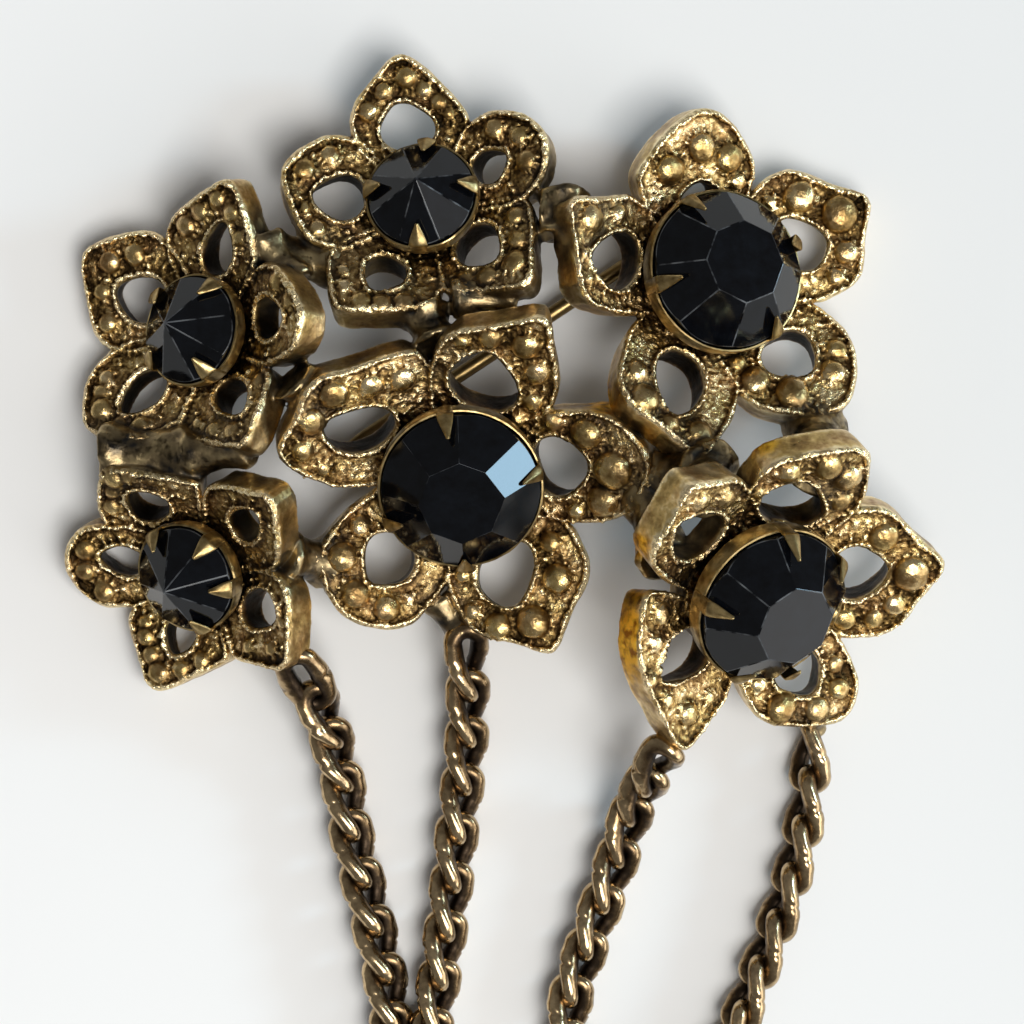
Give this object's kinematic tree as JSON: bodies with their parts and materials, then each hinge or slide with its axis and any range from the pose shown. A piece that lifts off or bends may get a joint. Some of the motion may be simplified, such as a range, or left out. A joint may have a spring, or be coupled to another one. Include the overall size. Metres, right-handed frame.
{
  "type": "brooch",
  "caption": "Domed brooch of openwork metal flowers set with round black glass stones, with chain swags below and a hinged pin on its back.",
  "frame": {"origin": "under the middle of the whole object, chains included, on the surface that it lies on face up", "axes": "+X to the right across the face, +Y towards the edge away from the chains, +Z out of the face"},
  "size_m": [0.0572, 0.0693, 0.0178],
  "materials": {
    "antique_brass": "antique gold plate, bright on the beads and brown in the recesses",
    "cup_brass": "satin gold plate",
    "black_glass": "polished and faceted, black",
    "pin_brass": "smooth drawn wire",
    "chain_bronze": "dark antique bronze, rubbed bright on top"
  },
  "bodies": {
    "brooch": {"flower_frame": "antique_brass", "claw_cup_top": "cup_brass", "claw_cup_left": "cup_brass", "claw_cup_lower_left": "cup_brass", "claw_cup_middle": "cup_brass", "claw_cup_right": "cup_brass", "claw_cup_lower_right": "cup_brass", "stone_top": "black_glass", "stone_left": "black_glass", "stone_lower_left": "black_glass", "stone_middle": "black_glass", "stone_right": "black_glass", "stone_lower_right": "black_glass", "left_link_01": "chain_bronze", "left_link_02": "chain_bronze", "left_link_03": "chain_bronze", "left_link_04": "chain_bronze", "left_link_05": "chain_bronze", "left_link_06": "chain_bronze", "left_link_07": "chain_bronze", "left_link_08": "chain_bronze", "left_link_09": "chain_bronze", "left_link_10": "chain_bronze", "left_link_11": "chain_bronze", "left_link_12": "chain_bronze", "left_link_13": "chain_bronze", "left_link_14": "chain_bronze", "left_link_15": "chain_bronze", "left_link_16": "chain_bronze", "left_link_17": "chain_bronze", "right_link_01": "chain_bronze", "right_link_02": "chain_bronze", "right_link_03": "chain_bronze", "right_link_04": "chain_bronze", "right_link_05": "chain_bronze", "right_link_06": "chain_bronze", "right_link_07": "chain_bronze", "right_link_08": "chain_bronze", "right_link_09": "chain_bronze", "right_link_10": "chain_bronze", "right_link_11": "chain_bronze", "right_link_12": "chain_bronze", "right_link_13": "chain_bronze", "right_link_14": "chain_bronze", "right_link_15": "chain_bronze", "right_link_16": "chain_bronze"},
    "pin": {"pin_stem": "pin_brass"}
  },
  "joints": [
    {"name": "pin_hinge", "type": "hinge", "parent": "brooch", "child": "pin", "pos_m": [0.01085, 0.023, 0.0015], "axis": [0.5505, -0.8348, 0], "range_deg": [0, 75]}
  ]
}
